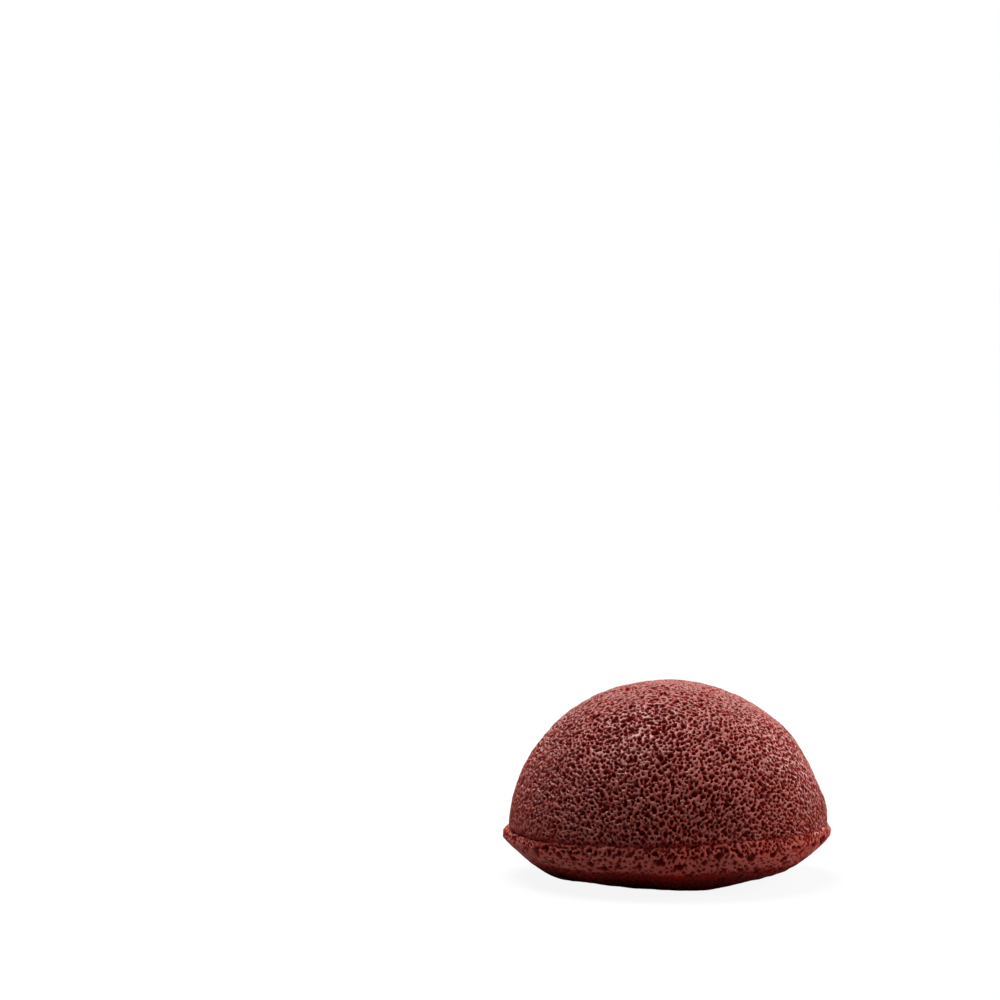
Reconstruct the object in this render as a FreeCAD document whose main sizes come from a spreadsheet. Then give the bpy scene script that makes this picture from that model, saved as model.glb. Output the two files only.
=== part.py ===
"""Konjac sponge: a half-ball facial sponge moulded from vegetable-root foam. Millimetres.

A fine-pored dome is seated on a coarser base shaped like a saucer. The base's rim stands out past the
dome as a rounded lip, so that a groove shows all round the sponge where the two foams meet.
The sponge rests on the flat foot under the base. The origin is the centre of that foot, and +Z points
up through the crown of the dome.
"""

import FreeCAD
import Part
import Sketcher

import math
import os

Vector = FreeCAD.Vector

# Driving dimensions: name, value and what it measures
SIZES = [
    ("rim_diameter", 80.0, "mm across the lip, the widest part of the sponge"),
    ("lip_radius", 1.4, "mm, the rounding of the lip"),
    ("lip_overhang", 1.5, "mm that the lip stands out past the dome"),
    ("base_height", 12.0, "mm from the foot to the seat that the dome stands on"),
    ("foot_diameter", 43.0, "mm across the flat foot"),
    ("side_lift", 5.0, "degrees that the base's side climbs where it leaves the foot"),
    ("dome_height", 36.0, "mm from the seat to the crown"),
    ("dome_edge_round", 1.5, "mm, the rounding of the dome's lower edge, which makes the groove"),
]

# A sketch numbers the points of a curve from 1
START, END, CENTRE = range(1, 4)
# The origin of a sketch, given as a geometry and a point of it
ORIGIN = (-1, 1)


def make_sheet(doc):
    """The spreadsheet that every size is bound to."""
    sheet = doc.addObject("Spreadsheet::Sheet", "sizes")
    for row, (name, value, meaning) in enumerate(SIZES, start=1):
        sheet.set(f"A{row}", name.replace("_", " "))
        sheet.set(f"B{row}", str(value))
        sheet.setAlias(f"B{row}", name)
        sheet.set(f"C{row}", meaning)
    doc.recompute()
    return sheet


def origin_plane(body, role):
    """One of the planes that a body is built on."""
    return next(plane for plane in body.Origin.OriginFeatures if plane.Role == role)


def bind(sketch, constraint, name, expression):
    """Adds a constraint whose value follows the sheet."""
    index = sketch.addConstraint(constraint)
    sketch.renameConstraint(index, name)
    sketch.setExpression(f"Constraints.{name}", expression)


def base_profile(body, sheet):
    """Half of the base's outline, from the foot's centre out to the lip and back in along the seat."""
    sketch = body.newObject("Sketcher::SketchObject", "BaseProfile")
    sketch.AttachmentSupport = (origin_plane(body, "XZ_Plane"), [""])
    sketch.MapMode = "FlatFace"

    # The outline starts near its solved place, and the constraints settle it
    rim_radius = sheet.rim_diameter / 2
    lip_centre = Vector(rim_radius - sheet.lip_radius, sheet.base_height - sheet.lip_radius, 0)
    lip_side = Vector(rim_radius, lip_centre.y, 0)
    lip_top = Vector(lip_centre.x, sheet.base_height, 0)
    foot_edge = Vector(sheet.foot_diameter / 2, 0, 0)
    middle = Vector((foot_edge.x + lip_side.x) / 2, lip_side.y / 2, 0)
    side_centre = Vector(foot_edge.x, 2 * sheet.base_height, 0)
    outward = (middle - side_centre).normalize()
    side_middle = middle + outward * (sheet.base_height / 5)
    lip_middle = lip_centre + Vector(1, 1, 0).normalize() * sheet.lip_radius
    seat_centre = Vector(0, sheet.base_height, 0)

    foot = sketch.addGeometry(Part.LineSegment(Vector(), foot_edge))
    side = sketch.addGeometry(Part.Arc(foot_edge, side_middle, lip_side))
    lip = sketch.addGeometry(Part.Arc(lip_side, lip_middle, lip_top))
    seat = sketch.addGeometry(Part.LineSegment(lip_top, seat_centre))
    axis = sketch.addGeometry(Part.LineSegment(seat_centre, Vector()))
    spoke = sketch.addGeometry(Part.LineSegment(foot_edge, side_centre), True)

    for constraint in (
        Sketcher.Constraint("Coincident", foot, START, *ORIGIN),
        Sketcher.Constraint("Coincident", foot, END, side, START),
        Sketcher.Constraint("Tangent", side, END, lip, START),
        Sketcher.Constraint("Tangent", lip, END, seat, START),
        Sketcher.Constraint("Coincident", seat, END, axis, START),
        Sketcher.Constraint("Coincident", axis, END, foot, START),
        Sketcher.Constraint("Horizontal", foot),
        Sketcher.Constraint("Horizontal", seat),
        Sketcher.Constraint("Vertical", axis),
        Sketcher.Constraint("Coincident", spoke, START, foot, END),
        Sketcher.Constraint("Coincident", spoke, END, side, CENTRE),
    ):
        sketch.addConstraint(constraint)

    bind(
        sketch,
        Sketcher.Constraint("DistanceX", foot, START, foot, END, foot_edge.x),
        "foot_radius",
        "sizes.foot_diameter / 2",
    )
    bind(
        sketch,
        Sketcher.Constraint("DistanceY", axis, END, axis, START, seat_centre.y),
        "seat_height",
        "sizes.base_height",
    )
    bind(
        sketch,
        Sketcher.Constraint("DistanceX", *ORIGIN, lip, CENTRE, lip_centre.x),
        "lip_centre",
        "sizes.rim_diameter / 2 - sizes.lip_radius",
    )
    bind(
        sketch,
        Sketcher.Constraint("Radius", lip, sheet.lip_radius),
        "lip_radius",
        "sizes.lip_radius",
    )
    bind(
        sketch,
        Sketcher.Constraint("Angle", spoke, FreeCAD.Units.Quantity("95 deg")),
        "side_lift",
        "90 deg + sizes.side_lift * 1 deg",
    )
    return sketch


def turn(body, sketch, name):
    """Turns an outline about the vertical axis into a solid."""
    turned = body.newObject("PartDesign::Revolution", name)
    turned.Profile = sketch
    turned.ReferenceAxis = (sketch, ["V_Axis"])
    turned.Angle = 360
    return turned


def make_base(doc, sheet):
    """The saucer-shaped base: its outline turned about the vertical axis."""
    body = doc.addObject("PartDesign::Body", "FoamBase")
    body.Label = "foam_base"
    turn(body, base_profile(body, sheet), "BaseTurned")
    doc.recompute()
    return body


def dome_profile(body, sheet):
    """Half of the dome's outline, a quarter of an ellipse that stands on the seat."""
    sketch = body.newObject("Sketcher::SketchObject", "DomeProfile")
    sketch.AttachmentSupport = (origin_plane(body, "XZ_Plane"), [""])
    sketch.MapMode = "FlatFace"

    seat_centre = Vector(0, sheet.base_height, 0)
    dome_edge = seat_centre + Vector(sheet.rim_diameter / 2 - sheet.lip_overhang, 0, 0)
    crown_top = seat_centre + Vector(0, sheet.dome_height, 0)
    is_wide = dome_edge.x >= sheet.dome_height
    if is_wide:
        ellipse = Part.Ellipse(dome_edge, crown_top, seat_centre)
        quarter = (0, math.pi / 2)
    else:
        far_edge = seat_centre * 2 - dome_edge
        ellipse = Part.Ellipse(crown_top, far_edge, seat_centre)
        quarter = (-math.pi / 2, 0)

    seat = sketch.addGeometry(Part.LineSegment(seat_centre, dome_edge))
    crown = sketch.addGeometry(Part.ArcOfEllipse(ellipse, *quarter))
    axis = sketch.addGeometry(Part.LineSegment(crown_top, seat_centre))
    sketch.exposeInternalGeometry(crown)
    major_axis = axis + 1

    for constraint in (
        Sketcher.Constraint("Vertical", *ORIGIN, seat, START),
        Sketcher.Constraint("Horizontal", seat),
        Sketcher.Constraint("Coincident", seat, START, crown, CENTRE),
        Sketcher.Constraint("Coincident", seat, END, crown, START),
        Sketcher.Constraint("Coincident", crown, END, axis, START),
        Sketcher.Constraint("Coincident", axis, END, seat, START),
        Sketcher.Constraint("Vertical", axis),
        Sketcher.Constraint("Horizontal" if is_wide else "Vertical", major_axis),
    ):
        sketch.addConstraint(constraint)

    bind(
        sketch,
        Sketcher.Constraint("DistanceY", *ORIGIN, seat, START, seat_centre.y),
        "seat_height",
        "sizes.base_height",
    )
    bind(
        sketch,
        Sketcher.Constraint("DistanceX", seat, START, seat, END, dome_edge.x),
        "dome_radius",
        "sizes.rim_diameter / 2 - sizes.lip_overhang",
    )
    bind(
        sketch,
        Sketcher.Constraint("DistanceY", axis, END, axis, START, sheet.dome_height),
        "dome_height",
        "sizes.dome_height",
    )
    return sketch


def make_dome(doc, sheet):
    """The dome: its outline turned about the vertical axis, with its lower edge rounded."""
    body = doc.addObject("PartDesign::Body", "FoamDome")
    body.Label = "foam_dome"
    turned = turn(body, dome_profile(body, sheet), "DomeTurned")
    doc.recompute()

    edge = body.newObject("PartDesign::Fillet", "DomeEdge")
    edge.Base = (turned, lowest_edges(turned.Shape))
    edge.setExpression("Radius", "sizes.dome_edge_round")
    doc.recompute()
    return body


def lowest_edges(shape):
    """Names of the edges that lie in the plane of a shape's lowest face."""
    flat = 1e-4
    bottom = shape.BoundBox.ZMin
    return [
        f"Edge{number}"
        for number, edge in enumerate(shape.Edges, start=1)
        if edge.BoundBox.ZMax - bottom < flat and edge.Length > flat
    ]


def check(doc, bodies):
    """Stops if any feature failed or a piece isn't one sound solid."""
    for item in doc.Objects:
        if {"Invalid", "Error"} & set(item.State):
            raise RuntimeError(f"{item.Name} failed: {item.State}")
    for body in bodies:
        if body.Shape.isNull() or not body.Shape.isValid() or len(body.Shape.Solids) != 1:
            raise RuntimeError(f"{body.Label} isn't one sound solid")


def main():
    doc = FreeCAD.newDocument("konjac_sponge")
    sheet = make_sheet(doc)
    bodies = [make_base(doc, sheet), make_dome(doc, sheet)]
    doc.recompute()
    check(doc, bodies)

    os.makedirs("parts", exist_ok=True)
    for body in bodies:
        body.Shape.exportStep(f"parts/{body.Label}.step")
        box = body.Shape.optimalBoundingBox()
        print(
            f"{body.Label}: {body.Shape.Volume / 1000:.2f} cm3,"
            f" {box.XLength:.2f} x {box.YLength:.2f} mm, z {box.ZMin:.2f} to {box.ZMax:.2f}"
        )


main()
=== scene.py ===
"""Konjac sponge: two moulded foams with real pores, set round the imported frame. Metres.

The frame's two solids give the sizes. Each foam is a fine sheet of points laid over an outline that is
turned about the vertical axis. Bubbles are thrown into the foam under that sheet, and wherever the foam's
face cuts across bubbles the sheet falls into them, so that every pore is a real hollow.
Foam is worked out in millimetres.
"""

import math

import bpy
import numpy as np
from mathutils import Euler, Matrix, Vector
from mathutils.kdtree import KDTree


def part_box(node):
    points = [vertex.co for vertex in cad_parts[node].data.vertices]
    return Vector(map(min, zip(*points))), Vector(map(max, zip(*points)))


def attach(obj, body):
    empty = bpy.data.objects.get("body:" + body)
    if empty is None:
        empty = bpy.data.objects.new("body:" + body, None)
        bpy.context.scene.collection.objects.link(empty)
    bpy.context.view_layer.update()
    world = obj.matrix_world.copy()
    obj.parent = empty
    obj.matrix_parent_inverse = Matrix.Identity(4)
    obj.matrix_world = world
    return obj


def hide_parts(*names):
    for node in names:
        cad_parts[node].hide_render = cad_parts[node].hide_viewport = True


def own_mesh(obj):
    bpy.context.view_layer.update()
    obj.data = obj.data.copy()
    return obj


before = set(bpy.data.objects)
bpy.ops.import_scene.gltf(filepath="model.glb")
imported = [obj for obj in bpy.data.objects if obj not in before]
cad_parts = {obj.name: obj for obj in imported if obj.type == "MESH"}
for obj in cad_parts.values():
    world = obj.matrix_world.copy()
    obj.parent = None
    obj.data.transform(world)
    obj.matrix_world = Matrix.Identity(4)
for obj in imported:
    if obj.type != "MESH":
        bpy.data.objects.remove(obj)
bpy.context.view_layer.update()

MM = 0.001
SEED = 20

# Sizes that the frame gives, in millimetres
DOME_LOW, DOME_HIGH = (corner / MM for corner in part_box("foam_dome"))
_, BASE_HIGH = (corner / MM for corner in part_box("foam_base"))
SEAT = DOME_LOW.z
CROWN = DOME_HIGH.z
DOME_RADIUS = DOME_HIGH.x
RIM_RADIUS = BASE_HIGH.x

# Sizes of the outline that a box doesn't show, in millimetres
DOME_EDGE_ROUND = 1.1
LIP_ROUND = 1.4
LIP_EDGE_ROUND = 1.0
FOOT_RADIUS = 21.5
SIDE_LIFT = math.radians(5)
SEAT_TUCK = 2.0

# The seam's rise per millimetre to the right, and its rise along the front in millimetres
SEAM_TILT = 0.012
SEAM_LIFT = 0.7

# Soft dents where the sponge was handled, each a place, a width and a depth; a depth below 0 is a bulge
DENTS = [
    ((30.0, -5.0, 4.0), 9.0, 1.3),
    ((-30.0, -20.0, 3.0), 8.0, 0.5),
    ((-12.0, -18.0, 0.5), 7.5, 0.7),
    ((19.0, -14.0, 0.5), 7.0, 1.1),
    ((38.0, -2.0, 16.0), 5.0, -0.7),
]

# Swells that make a surface uneven, each a number added to SEED, a length and a height in millimetres
FACE_SWELLS = [(1, 22, 0.22), (2, 4, 0.06)]
LIP_SWELLS = [(3, 20, 0.12), (4, 5, 0.18)]
PULL_SWELLS = [(5, 25, 0.15)]
# Swells along x, y and z that bend the face which the bubbles meet, so that pores aren't quite round
PORE_WARPS = [(10, 1.7, 0.16), (11, 1.7, 0.16), (12, 1.7, 0.16)]

# How squarely a place must face the front, out of 1, to count fully as front
FRONT_BLEND = 0.3
# The lip, in millimetres: how soon it sets in outside the dome, how far it reaches down and its rise
LIP_BLEND = 0.6
LIP_DEPTH = 2.0
LIP_RISE = 0.25
# Along the front the lip is drawn in, which sets in upwards between two heights and outwards from a radius
LIP_PULL = 1.3
PULL_START = 4.0
PULL_FULL = SEAT - 1
PULL_RADIUS = 30.0
PULL_BLEND = 8.0
# On the right of the front it also rises to fill the groove, which fades out there
LIP_FILL = 0.75
GROOVE_END = 14.0
GROOVE_FADE = 12.0
# Along the front the hidden seat inside the lip lies lower; ON_SEAT is how near its height the seat counts
SEAT_DROP = 0.8
SEAT_INSET = 0.2
SEAT_BLEND = 1.0
ON_SEAT = 0.05

# Greatest depth of a pore, and how much less it is on the lip and beside the open groove, in millimetres
PORE_DEPTH = 2.0
LIP_SHALLOW = 1.6
GROOVE_SHALLOW = 0.25
# How far each point's depth is moved towards its neighbours', out of 1
PORE_SOFTENING = 0.4

# Painted shade, as added depth that darkens the colour: at the dome's lower edge, in the groove and at the
# foot
EDGE_SHADE = 0.7
EDGE_SHADE_HEIGHT = 1.5
EDGE_SHADE_BLEND = 1.0
GROOVE_SHADE = 0.4
GROOVE_SHADE_INSET = 1.5
GROOVE_SHADE_BLEND = 0.4
FOOT_SHADE = 0.8
FOOT_SHADE_HEIGHT = 6.2
FOOT_SHADE_BLEND = 3.5
# Share of the lip's painted glow that the front of the lip lacks
FRONT_DIMS = 0.8

# Where pores lie on the base: heights in millimetres, and the share where there are few
SKIN_START = 2.0
SKIN_BLEND = 5.0
BAND_LOW = 5.0
BAND_HIGH = 11.2
SEAM_LOW = 10.4
FEW = 0.12

# The photograph's view
PHOTO_SIDE = 1000
MIDDLE_PIXEL = (667, 779)
RIM_PIXELS = 329
CAMERA_DISTANCE = 1.0
CAMERA_LOOKS_DOWN = math.radians(7.6)
SENSOR = 36.0
NEAREST_SEEN = 0.01


def make_camera():
    """A camera that sees the sponge where the photograph has it, with no shift."""
    frame_width = PHOTO_SIDE / RIM_PIXELS * 2 * RIM_RADIUS * MM
    target = Vector((0, 0, CROWN / 2 * MM))
    across = (MIDDLE_PIXEL[0] - PHOTO_SIDE / 2) / PHOTO_SIDE * frame_width
    below = (MIDDLE_PIXEL[1] - PHOTO_SIDE / 2) / PHOTO_SIDE * frame_width
    pitch = CAMERA_LOOKS_DOWN - math.atan2(below, CAMERA_DISTANCE)
    yaw = math.atan2(across, CAMERA_DISTANCE)
    turn = Euler((math.pi / 2 - pitch, 0, yaw)).to_matrix()

    data = bpy.data.cameras.new("camera")
    data.sensor_width = SENSOR
    data.lens = SENSOR * CAMERA_DISTANCE / frame_width
    data.clip_start = NEAREST_SEEN
    camera = bpy.data.objects.new("camera", data)
    camera.rotation_euler = turn.to_euler()
    camera.location = target - turn @ Vector((across, -below, -CAMERA_DISTANCE))
    bpy.context.scene.collection.objects.link(camera)
    bpy.context.scene.camera = camera


# Outlines, as rows of radius and height in millimetres


def arc(centre, radius, start, end, steps=120):
    """Points along a round stretch of an outline, between two angles."""
    angle = np.linspace(start, end, steps)
    return np.stack([centre[0] + radius * np.cos(angle), centre[1] + radius * np.sin(angle)], 1)


def run(start, end, steps=120):
    """Points along a straight stretch of an outline."""
    share = np.linspace(0, 1, steps)[:, None]
    return np.array(start) * (1 - share) + np.array(end) * share


def dome_outline(steps=600):
    """From the crown down the flank, round the lower edge and in along the seat."""
    rise = CROWN - SEAT
    angle = np.linspace(0, math.acos(DOME_EDGE_ROUND / rise), steps)
    flank = np.stack([DOME_RADIUS * np.sin(angle), SEAT + rise * np.cos(angle)], 1)
    centre = flank[-1] - (DOME_EDGE_ROUND, 0)
    edge = arc(centre, DOME_EDGE_ROUND, 0, -math.pi / 2)
    tuck = run(edge[-1], edge[-1] - (SEAT_TUCK, 0))
    return np.concatenate([flank, edge[1:], tuck[1:]])


def base_outline(steps=300):
    """From the foot's centre out along the foot, up the side, over the lip and in along the seat."""
    foot_edge = np.array((FOOT_RADIUS, 0.0))
    lip_centre = np.array((RIM_RADIUS - LIP_ROUND, SEAT - LIP_ROUND))
    # The side leaves the foot at SIDE_LIFT and turns smoothly into the lip, which sets its radius
    towards = np.array((-math.sin(SIDE_LIFT), math.cos(SIDE_LIFT)))
    reach = lip_centre - foot_edge
    side_radius = (reach @ reach - LIP_ROUND**2) / (2 * (reach @ towards - LIP_ROUND))
    side_centre = foot_edge + side_radius * towards
    meets = math.atan2(*(lip_centre - side_centre)[::-1])
    edge_centre = np.array((RIM_RADIUS - LIP_EDGE_ROUND, SEAT - LIP_EDGE_ROUND))

    foot = run((0, 0), foot_edge)
    side = arc(side_centre, side_radius, SIDE_LIFT - math.pi / 2, meets, steps)
    lip = arc(lip_centre, LIP_ROUND, meets, 0)
    edge = arc(edge_centre, LIP_EDGE_ROUND, 0, math.pi / 2)
    tuck = run(edge[-1], (DOME_RADIUS - DOME_EDGE_ROUND - SEAT_TUCK, SEAT))
    return np.concatenate([foot, side[1:], lip[1:], edge, tuck[1:]])


def turned_sheet(outline, cells, side):
    """A square sheet of cells laid over a turned outline.

    The square is first mapped onto a disc, where its rows and columns become parts of ellipses, and the
    disc onto the turned outline, where every ring keeps its share of the area. side is 1 where the
    outline runs clockwise, as on a dome, and -1 where it runs the other way. Gives points, outward
    normals, places in the square and the mean width of a cell.
    """
    steps = np.linspace(-1, 1, cells + 1)
    a, b = np.meshgrid(steps, steps, indexing="ij")
    x, y = a * np.sqrt(1 - b**2 / 2), b * np.sqrt(1 - a**2 / 2)
    ring = np.hypot(x, y)
    safe = np.where(ring == 0, 1, ring)
    x, y = x / safe, y / safe

    radius, height = outline.T
    length = np.hypot(np.diff(radius), np.diff(height))
    area = np.concatenate([[0], np.cumsum(length * (radius[1:] + radius[:-1]) / 2)])
    spread = np.sqrt(area / area[-1])
    along = np.gradient(outline, axis=0)
    along /= np.linalg.norm(along, axis=1)[:, None]

    def at(values):
        return np.interp(ring, spread, values)

    points = np.stack([at(radius) * x, at(radius) * y, at(height)], -1)
    out, up = -side * at(along[:, 1]), side * at(along[:, 0])
    normals = np.stack([out * x, out * y, up], -1)
    normals /= np.linalg.norm(normals, axis=-1)[..., None]
    cell = math.sqrt(2 * math.pi * area[-1]) / cells
    return points, normals, np.stack([a, b], -1), cell


# Uneven shape of the foams


def ramp(values, start, width):
    """Values turned into shares from 0 at start to 1 at start + width; a width below 0 runs downwards."""
    return np.clip((values - start) / width, 0, 1)


def radius_of(points):
    """How far points lie from the vertical axis."""
    return np.hypot(points[..., 0], points[..., 1])


def waves(points, length, seed, count=24, mix=(0.6, 1.5)):
    """Smooth seeded unevenness over points, mostly -1 to 1, with swells about as long as length."""
    rng = np.random.default_rng(seed)
    ways = rng.normal(size=(count, 3))
    ways *= 2 * math.pi / length / np.linalg.norm(ways, axis=1)[:, None]
    ways *= rng.uniform(*mix, (count, 1))
    starts = rng.uniform(0, 2 * math.pi, count)
    total = sum(np.sin(points @ way + start) for way, start in zip(ways, starts))
    return total / math.sqrt(count)


def swells(points, table):
    """The height of all a table's swells together, in millimetres."""
    return sum(height * waves(points, length, SEED + seed) for seed, length, height in table)


def dents(points):
    """How far the face is pressed in, in millimetres, at the places where the sponge was handled."""
    total = np.zeros(points.shape[:2])
    for place, width, depth in DENTS:
        far = np.linalg.norm(points - place, axis=-1) / width
        total += depth * np.exp(-(far**2))
    return total


def forward(points, near_axis=1.0):
    """How far points face the front: 1 straight at it, 0 at the sides and below 0 behind."""
    return -points[..., 1] / np.maximum(radius_of(points), near_axis)


def front_share(points):
    """1 along the front of the sponge, falling to 0 at its sides."""
    return np.clip(forward(points) / FRONT_BLEND, 0, 1)


def seam_rise(points):
    """How far the seam sits up, on the right and along the front; the foot and the crown stay put."""
    x, z = points[..., 0], points[..., 2]
    share = np.where(z < SEAT, z / SEAT, (CROWN - z) / (CROWN - SEAT))
    return (SEAM_TILT * x + SEAM_LIFT * np.clip(forward(points), 0, 1)) * share


def lip_share(points):
    """1 on the upper part of the lip, falling to 0 on the side of the base and under the dome."""
    out = ramp(radius_of(points), DOME_RADIUS, LIP_BLEND)
    return out * ramp(points[..., 2], SEAT - LIP_DEPTH, LIP_DEPTH)


def lip_pull(points):
    """How far the lip is drawn in, in millimetres: it is flush with the dome along the front."""
    high = ramp(points[..., 2], PULL_START, PULL_FULL - PULL_START)
    outer = ramp(radius_of(points), PULL_RADIUS, PULL_BLEND)
    return (LIP_PULL + swells(points, PULL_SWELLS)) * front_share(points) * high * outer


def groove_open(points):
    """1 where the groove stays open, up to the middle of the front, and 0 where the lip fills it."""
    return ramp(points[..., 0], GROOVE_END, -GROOVE_FADE)


def lip_rise(points):
    """How far the lip swells up, in millimetres: it fills the groove on the right of the front."""
    filled = (1 - groove_open(points)) * front_share(points)
    return lip_share(points) * (LIP_RISE + LIP_FILL * filled + swells(points, LIP_SWELLS))


def inner_seat(points, inset, blend):
    """1 on the seat inside the lip, falling to 0 at a radius that is inset from the dome's."""
    on_seat = points[..., 2] > SEAT - ON_SEAT
    return ramp(radius_of(points), DOME_RADIUS - inset, -blend) * on_seat


def seat_drop(points):
    """How far the seat lies under the lip along the front, in millimetres, to clear the dome's underside."""
    return SEAT_DROP * inner_seat(points, SEAT_INSET, SEAT_BLEND) * front_share(points)


def painted_shade(points, side):
    """Painted shade, as added depth that darkens the colour: along the dome's lower edge, in the groove and
    under the base.
    """
    z = points[..., 2]
    if side > 0:
        return EDGE_SHADE * ramp(z, SEAT + EDGE_SHADE_HEIGHT, -EDGE_SHADE_BLEND)
    inset = DOME_RADIUS - (RIM_RADIUS - GROOVE_SHADE_INSET)
    groove = GROOVE_SHADE * inner_seat(points, inset, GROOVE_SHADE_BLEND)
    return groove + FOOT_SHADE * ramp(z, FOOT_SHADE_HEIGHT, -FOOT_SHADE_BLEND)


# Pores


def throw_bubbles(points, normals, rng, sizes, under, crowd, share=None, spread=0.2, limit=0.5):
    """Bubbles thrown into the foam under a sheet, each size in turn, and kept apart from one another.

    sizes lists how many of each size are thrown and their middle radius. under is how far a bubble's
    middle may lie under the face, and crowd how near two bubbles may come, both as a share of their
    radii. share says how likely a place takes one. spread and limit say how much the radii vary.
    Gives sheet rows and columns, centres, radii and depths.
    """
    count = sum(thrown for thrown, _ in sizes)
    rows, columns = rng.integers(0, points.shape[0], (2, count))
    middle = np.repeat([radius for _, radius in sizes], [thrown for thrown, _ in sizes])
    radii = middle * np.exp(np.clip(rng.normal(0, spread, count), -limit, limit))
    deep = radii * rng.uniform(*under, count)
    centres = points[rows, columns] - normals[rows, columns] * deep[:, None]
    biggest = radii.max()
    tree = KDTree(count)
    for number, centre in enumerate(centres):
        tree.insert(centre, number)
    tree.balance()
    gone = np.zeros(count, bool)
    if share:
        gone = rng.random(count) > share(points[rows, columns])
    kept = []
    for number in range(count):
        if gone[number]:
            continue
        kept.append(number)
        for _, other, gap in tree.find_range(centres[number], crowd * (radii[number] + biggest)):
            gone[other] |= gap < crowd * (radii[number] + radii[other])
    return rows[kept], columns[kept], centres[kept], radii[kept], deep[kept]


def open_pores(points, normals, cell, bubbles, narrowest=0.6, margin=2, thin_wall=0.02):
    """How far each point falls, in millimetres, through the bubbles that the face cuts across.

    Each bubble is looked for in a window of cells round it: narrowest is the narrowest cell allowed for,
    as a share of the mean, and margin the cells added to its reach. A point falls on from one bubble into
    the next through a wall no thicker than thin_wall.
    """
    depth = np.zeros(points.shape[:2])
    for number in np.argsort(bubbles[4]):
        row, column, centre, radius, _ = (values[number] for values in bubbles)
        reach = int(radius / cell / narrowest) + margin
        window = np.s_[max(row - reach, 0) : row + reach + 1, max(column - reach, 0) : column + reach + 1]
        gap = centre - points[window]
        along = -(gap * normals[window]).sum(-1)
        half = np.sqrt(np.maximum(radius**2 - (gap**2).sum(-1) + along**2, 0))
        here = depth[window]
        falls = (half > 0) & (along - half <= here + thin_wall)
        depth[window] = np.where(falls, np.maximum(here, along + half), here)
    return depth


def soften(values, share):
    """Each value moved a share of the way to the mean of its neighbours."""
    padded = np.pad(values, 1, mode="edge")
    mean = (padded[:-2, 1:-1] + padded[2:, 1:-1] + padded[1:-1, :-2] + padded[1:-1, 2:]) / 4
    return values * (1 - share) + mean * share


def upper_base(points):
    """Small pores are many on the upper part of the base and few on its lower skin."""
    return np.clip((points[:, 2] - SKIN_START) / SKIN_BLEND, FEW, 1)


def base_band(points):
    """Big pores lie in a band under the lip, and hardly anywhere else."""
    return np.where((points[:, 2] > BAND_LOW) & (points[:, 2] < BAND_HIGH), 1, FEW)


def seam_band(points):
    """The upper edge of the base is as finely pored as the dome."""
    return np.where(points[:, 2] > SEAM_LOW, 1, 0)


DEEP_PORES = dict(sizes=[(2500, 0.56)], under=(0.0, 0.4), crowd=3.3)
FACE_PORES = dict(sizes=[(120000, 0.52), (30000, 0.27)], under=(0.25, 0.9), crowd=0.94)
UNDER_PORES = dict(sizes=[(120000, 0.5)], under=(1.2, 3.6), crowd=0.75)
BIG_PORES = dict(sizes=[(2500, 0.95)], under=(0.0, 0.35), crowd=2.0, share=base_band)
SEAM_PORES = dict(sizes=[(60000, 0.42)], under=(0.4, 0.9), crowd=1.05, share=seam_band)
SKIN_PORES = dict(sizes=[(30000, 0.5), (15000, 0.27)], under=(0.5, 1.0), crowd=1.2, share=upper_base)


# Meshes


def sheet_mesh(name, points, places, side, middle, map_half=0.48, map_outside=1.02):
    """A closed mesh of a sheet of points, with a cap from its edge to the point called middle.

    The sheet takes up map_half of its map on each side of the map's middle.
    """
    rows, columns = points.shape[:2]
    number = np.arange(rows * columns).reshape(rows, columns)
    corners = [number[:-1, :-1], number[1:, :-1], number[1:, 1:], number[:-1, 1:]]
    faces = np.stack(corners[::side], -1).reshape(-1, 4).tolist()
    rim = np.concatenate([number[:-1, 0], number[-1, :-1], number[:0:-1, -1], number[0, :0:-1]])
    centre = rows * columns
    for first, second in zip(rim, np.roll(rim, -1)):
        faces.append((second, first, centre)[::side])
    mesh = bpy.data.meshes.new(name)
    mesh.from_pydata(np.vstack([points.reshape(-1, 3), [middle]]) * MM, [], faces)

    # The sheet lies flat in the map, and each face of the cap just outside its own edge of the sheet
    loops = np.empty(len(mesh.loops), np.int32)
    mesh.loops.foreach_get("vertex_index", loops)
    flat = np.vstack([places.reshape(-1, 2), [(0, 0)]])[loops]
    cap = flat[-3 * len(rim) :].reshape(-1, 3, 2)
    apex = np.argmax(loops[-3 * len(rim) :].reshape(-1, 3) == centre, axis=1)
    outside = cap.sum(1) / 2
    outside *= map_outside / np.abs(outside).max(-1)[:, None]
    cap[np.arange(len(rim)), apex] = outside
    uv = mesh.uv_layers.new(name="OFBake")
    uv.data.foreach_set("uv", (0.5 + map_half * flat).astype(np.float32).ravel())
    mesh.shade_smooth()
    return mesh


def add_values(mesh, name, values):
    """Stores one number for each point of a sheet's mesh; the cap's middle gets 0."""
    attribute = mesh.attributes.new(name, "FLOAT", "POINT")
    attribute.data.foreach_set("value", np.append(values.ravel(), 0).astype(np.float32))


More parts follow.
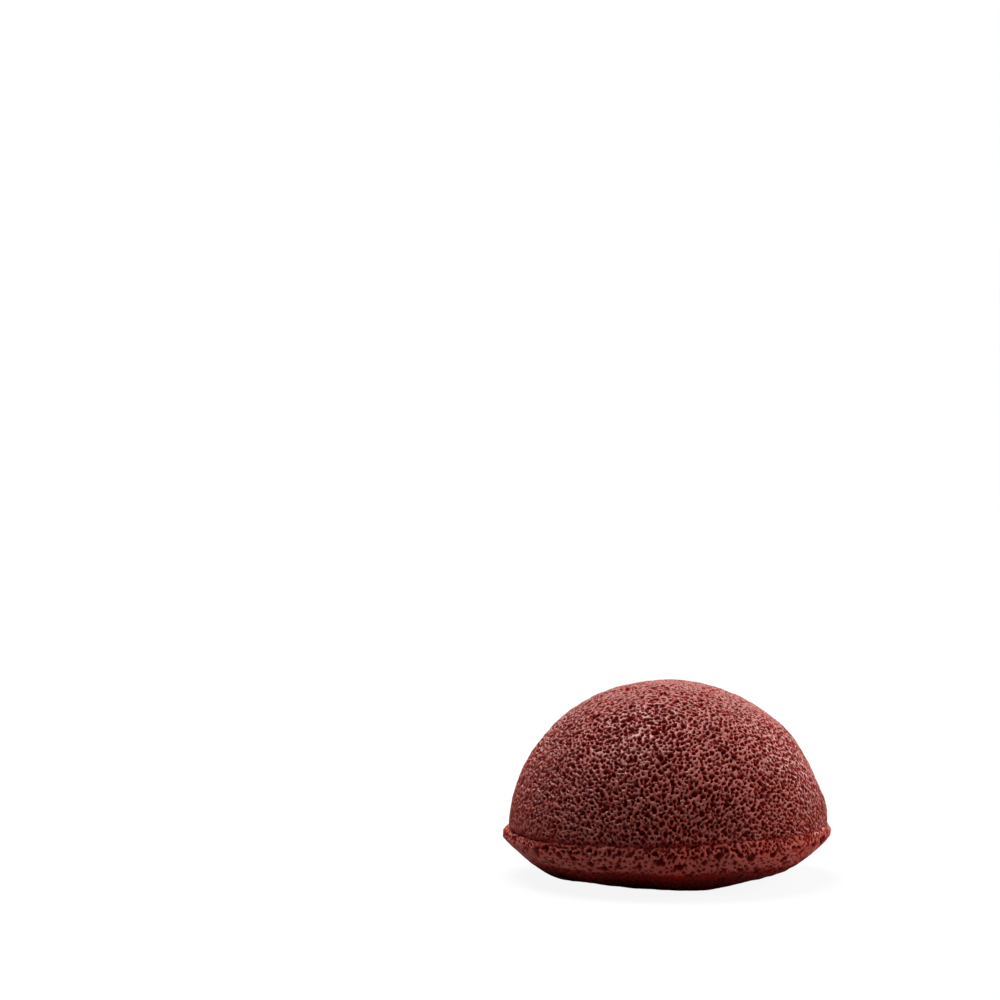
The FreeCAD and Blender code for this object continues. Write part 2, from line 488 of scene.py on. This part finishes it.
def make_foam(name, outline, cells, side, middle, throws):
    """One foam: its sheet, uneven as hand-made foam is, opened into the pores that its bubbles make."""
    rng = np.random.default_rng(SEED + side)
    points, normals, places, cell = turned_sheet(outline, cells, side)
    lip, front = lip_share(points), front_share(points)
    skin = points + normals * (swells(points, FACE_SWELLS) - dents(points))[..., None]
    lift = seam_rise(points)
    if side < 0:
        skin[..., :2] *= (1 - lip_pull(points) / RIM_RADIUS)[..., None]
        lift -= seat_drop(points)
    skin[..., 2] += lift + lip_rise(points)

    bent = skin + np.stack([swells(points, [warp]) for warp in PORE_WARPS], -1)
    thrown = [throw_bubbles(bent, normals, rng, **throw) for throw in throws]
    bubbles = [np.concatenate(values) for values in zip(*thrown)]
    shallow = (LIP_SHALLOW + GROOVE_SHALLOW * groove_open(points) * front) * lip
    depth = np.minimum(open_pores(bent, normals, cell, bubbles), PORE_DEPTH - shallow)
    depth = soften(depth, PORE_SOFTENING)
    shaped = skin - normals * depth[..., None]
    shaped[..., 2] = np.maximum(shaped[..., 2], 0)

    mesh = sheet_mesh(name, shaped, places, side, middle)
    # The pit value is each point's pore depth plus painted shade at the dome's lower edge, in the groove and
    # at the foot
    add_values(mesh, "pit", depth + painted_shade(points, side))
    # The rim value places the painted glow on the lip, weaker along the front
    add_values(mesh, "rim", lip**2 * (1 - FRONT_DIMS * front))
    piece = bpy.data.objects.new(name, mesh)
    bpy.context.scene.collection.objects.link(piece)
    return piece


# Nodes for the materials and the world


def combined(tree, operation, first, second):
    """The output of a Math node whose two values are sockets or plain numbers."""
    node = tree.nodes.new("ShaderNodeMath")
    node.operation = operation
    for value, socket in zip((first, second), node.inputs):
        if isinstance(value, bpy.types.NodeSocket):
            tree.links.new(value, socket)
        else:
            socket.default_value = value
    return node.outputs[0]


def mapped(tree, value, before, after, smooth=False):
    """A value mapped from one range to another, and held inside it."""
    node = tree.nodes.new("ShaderNodeMapRange")
    if smooth:
        node.interpolation_type = "SMOOTHSTEP"
    for name, number in zip(("From Min", "From Max", "To Min", "To Max"), (*before, *after)):
        node.inputs[name].default_value = number
    tree.links.new(value, node.inputs["Value"])
    return node.outputs["Result"]


def point_value(tree, name):
    """A number that is stored at the points of a mesh."""
    node = tree.nodes.new("ShaderNodeAttribute")
    node.attribute_name = name
    return node.outputs["Fac"]


def seen_rays(tree, path):
    """1 for rays that show the background: the camera's own, and those that pass through glass."""
    return combined(tree, "MAXIMUM", path.outputs["Is Camera Ray"], path.outputs["Is Transmission Ray"])


# Foam material

# Ridge, wall and pit colours, and the strength of the sheen; the wall and pit colours are painted shade in
# the pores
DOME_LOOK = ((0.42, 0.105, 0.085, 1), (0.33, 0.026, 0.016, 1), (0.28, 0.004, 0.002, 1), 0.6)
BASE_LOOK = ((0.52, 0.105, 0.08, 1), (0.33, 0.016, 0.009, 1), (0.18, 0.002, 0.001, 1), 0.35)
# Depths, in millimetres, at which the wall's and the pit's colours are reached: the painted shade deepens
# with a pore's depth
WALL_DEPTH = 0.18
PIT_DEPTH = 0.75
# Painted glow on the thin lip: its colour and its strength
LIP_GLOW_COLOUR = (0.50, 0.07, 0.035, 1)
LIP_GLOW = 0.7

# Light that spreads inside the foam
SPREAD_WEIGHT = 0.3
SPREAD_RADIUS = (1.0, 0.2, 0.12)
SPREAD_SCALE = 0.001

# Clouds of noise, each a scale, a detail and the range of what it changes
NOISE_RANGE = (0.3, 0.7)
DEPTH_FLECKS = (700, 3, (-0.06, 0.05))
VALUE_CLOUDS = (130, 2, (0.92, 1.08))
SATURATION_CLOUDS = (90, 2, (0.97, 1.03))
ROUGHNESS_CLOUDS = (1500, 2, (0.26, 0.46))

# Grain of the foam's skin, too fine for its mesh
GRAIN_SCALE = 2600
GRAIN_DETAIL = 3
GRAIN_STRENGTH = 0.35
GRAIN_HEIGHT = 0.0002


def foam_material(name, ridge, wall, pit, sheen):
    """Moist vegetable foam: pale pink ridges, pore walls and pits painted darker red with depth as painted
    shade, a painted glow on the lip and a soft sheen.
    """
    material = bpy.data.materials.new(name)
    material.use_nodes = True
    tree = material.node_tree
    nodes, links = tree.nodes, tree.links
    shader = nodes["Principled BSDF"]
    shader.inputs["Specular IOR Level"].default_value = sheen
    shader.inputs["Subsurface Weight"].default_value = SPREAD_WEIGHT
    shader.inputs["Subsurface Radius"].default_value = SPREAD_RADIUS
    shader.inputs["Subsurface Scale"].default_value = SPREAD_SCALE
    place = nodes.new("ShaderNodeTexCoord")

    def noise(scale, detail):
        texture = nodes.new("ShaderNodeTexNoise")
        texture.inputs["Scale"].default_value = scale
        texture.inputs["Detail"].default_value = detail
        links.new(place.outputs["Object"], texture.inputs["Vector"])
        return texture.outputs["Fac"]

    def clouds(scale, detail, limits):
        return mapped(tree, noise(scale, detail), NOISE_RANGE, limits)

    # Painted shade in the pores: the colour darkens from the ridge's through the wall's to the pit's as a
    # pore deepens
    depth = combined(tree, "ADD", point_value(tree, "pit"), clouds(*DEPTH_FLECKS))
    colours = nodes.new("ShaderNodeValToRGB")
    colours.color_ramp.elements[0].color = ridge
    colours.color_ramp.elements[1].color = pit
    colours.color_ramp.elements[1].position = PIT_DEPTH
    colours.color_ramp.elements.new(WALL_DEPTH).color = wall
    links.new(depth, colours.inputs["Fac"])

    tone = nodes.new("ShaderNodeHueSaturation")
    links.new(colours.outputs["Color"], tone.inputs["Color"])
    links.new(clouds(*VALUE_CLOUDS), tone.inputs["Value"])
    links.new(clouds(*SATURATION_CLOUDS), tone.inputs["Saturation"])

    # Painted glow: the thin lip is painted brighter and more orange, standing in for light that comes
    # through it
    lip = nodes.new("ShaderNodeMix")
    lip.data_type = "RGBA"
    links.new(combined(tree, "MULTIPLY", point_value(tree, "rim"), LIP_GLOW), lip.inputs["Factor"])
    links.new(tone.outputs["Color"], lip.inputs["A"])
    lip.inputs["B"].default_value = LIP_GLOW_COLOUR
    links.new(lip.outputs["Result"], shader.inputs["Base Color"])

    links.new(clouds(*ROUGHNESS_CLOUDS), shader.inputs["Roughness"])
    bump = nodes.new("ShaderNodeBump")
    bump.inputs["Strength"].default_value = GRAIN_STRENGTH
    bump.inputs["Distance"].default_value = GRAIN_HEIGHT
    links.new(noise(GRAIN_SCALE, GRAIN_DETAIL), bump.inputs["Height"])
    links.new(bump.outputs["Normal"], shader.inputs["Normal"])
    return material


# Stage

WHITE = (1, 1, 1, 1)
FLOOR_HALF = 40.0
FLOOR_ROUGHNESS = 0.9
# The floor's grey as light meets it, and as the camera and reflections do
FLOOR_LIT = (0.4, 0.4, 0.4, 1)
FLOOR_SHOWN = (0.1, 0.1, 0.1, 1)
# The floor's glow for the camera, between two distances from the sponge
GLOW_DISTANCES = (0.05, 0.5)
GLOW_STRENGTHS = (0.9, 1.0)

# Where the world is brightest, where it turns dark, how fast, and its share of light without reflections
BRIGHT_WAY = (0.3, 0.5, 0.81)
BRIGHT_RANGE = (-0.6, 1.0)
BRIGHT_POWER = 4
SOFT_SHARE = 0.25

# Square lamps, each a name, a place, a width, a power and whether it makes glints
LAMPS = [
    ("overhead", (-0.16, 0.12, 0.75), 0.5, 6.2, True),
    ("right_side", (0.75, -0.05, 0.4), 0.5, 4.9, False),
    ("left_side", (-0.75, 0.3, 0.3), 0.5, 1.2, False),
    ("right_rim", (0.55, 0.6, 0.32), 0.4, 1.7, True),
]


def floor_material():
    """Pale grey that takes the sponge's shadow, with a glow that makes it white where the camera looks."""
    material = bpy.data.materials.new("floor_white")
    material.use_nodes = True
    tree = material.node_tree
    nodes, links = tree.nodes, tree.links
    shader = nodes["Principled BSDF"]
    shader.inputs["Roughness"].default_value = FLOOR_ROUGHNESS
    shader.inputs["Specular IOR Level"].default_value = 0
    shader.inputs["Emission Color"].default_value = WHITE
    path = nodes.new("ShaderNodeLightPath")
    seen = seen_rays(tree, path)

    grey = nodes.new("ShaderNodeMix")
    grey.data_type = "RGBA"
    grey.inputs["A"].default_value = FLOOR_LIT
    grey.inputs["B"].default_value = FLOOR_SHOWN
    links.new(combined(tree, "MAXIMUM", seen, path.outputs["Is Glossy Ray"]), grey.inputs["Factor"])
    links.new(grey.outputs["Result"], shader.inputs["Base Color"])

    place = nodes.new("ShaderNodeNewGeometry")
    away = nodes.new("ShaderNodeVectorMath")
    away.operation = "LENGTH"
    links.new(place.outputs["Position"], away.inputs[0])
    glow = mapped(tree, away.outputs["Value"], GLOW_DISTANCES, GLOW_STRENGTHS, smooth=True)
    links.new(combined(tree, "MULTIPLY", seen, glow), shader.inputs["Emission Strength"])
    return material


def make_floor():
    """A wide floor that keeps the sponge's shadow and is white as far as the camera sees."""
    mesh = bpy.data.meshes.new("floor")
    corners = [(x * FLOOR_HALF, y * FLOOR_HALF, 0) for x, y in ((-1, -1), (1, -1), (1, 1), (-1, 1))]
    mesh.from_pydata(corners, [], [(0, 1, 2, 3)])
    mesh.materials.append(floor_material())
    floor = bpy.data.objects.new("floor", mesh)
    bpy.context.scene.collection.objects.link(floor)


def make_world():
    """White as the camera sees it; it lights the sponge softly from above, behind and the right."""
    world = bpy.data.worlds.new("studio")
    world.use_nodes = True
    bpy.context.scene.world = world
    tree = world.node_tree
    nodes, links = tree.nodes, tree.links
    way = nodes.new("ShaderNodeTexCoord")
    towards = nodes.new("ShaderNodeVectorMath")
    towards.operation = "DOT_PRODUCT"
    towards.inputs[1].default_value = BRIGHT_WAY
    links.new(way.outputs["Generated"], towards.inputs[0])
    bright = mapped(tree, towards.outputs["Value"], BRIGHT_RANGE, (0, 1))
    bright = combined(tree, "POWER", bright, BRIGHT_POWER)

    path = nodes.new("ShaderNodeLightPath")
    gloss = mapped(tree, path.outputs["Is Glossy Ray"], (0, 1), (SOFT_SHARE, 1))
    strength = nodes.new("ShaderNodeMix")
    strength.data_type = "FLOAT"
    links.new(seen_rays(tree, path), strength.inputs["Factor"])
    links.new(combined(tree, "MULTIPLY", bright, gloss), strength.inputs["A"])
    strength.inputs["B"].default_value = 1.0
    background = nodes["Background"]
    background.inputs["Color"].default_value = WHITE
    links.new(strength.outputs["Result"], background.inputs["Strength"])


def make_lamp(name, place, size, power, glints):
    """A square soft lamp that faces the sponge's middle, with or without glints of its own."""
    light = bpy.data.lights.new(name, "AREA")
    light.size = size
    light.energy = power
    lamp = bpy.data.objects.new(name, light)
    lamp.location = place
    lamp.visible_glossy = glints
    middle = Vector((0, 0, CROWN / 2 * MM))
    lamp.rotation_euler = (middle - lamp.location).to_track_quat("-Z", "Y").to_euler()
    bpy.context.scene.collection.objects.link(lamp)


make_camera()
make_floor()
make_world()
for lamp in LAMPS:
    make_lamp(*lamp)

# Cells along each side of a foam's sheet, and how far under the seat the base's cap has its middle
DOME_CELLS = 640
BASE_CELLS = 480
CAP_DROP = 0.1

dome = make_foam(
    "foam_dome_pored",
    dome_outline(),
    DOME_CELLS,
    1,
    (0, 0, SEAT),
    [DEEP_PORES, FACE_PORES, UNDER_PORES],
)
base = make_foam(
    "foam_base_pored",
    base_outline(),
    BASE_CELLS,
    -1,
    (0, 0, SEAT - CAP_DROP),
    [BIG_PORES, SEAM_PORES, SKIN_PORES, UNDER_PORES],
)
dome.data.materials.append(foam_material("dome_foam", *DOME_LOOK))
base.data.materials.append(foam_material("base_foam", *BASE_LOOK))

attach(dome, "dome")
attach(base, "base")
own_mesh(dome)
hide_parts("foam_dome")
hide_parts("foam_base")

bpy.context.scene.view_settings.view_transform = "Standard"
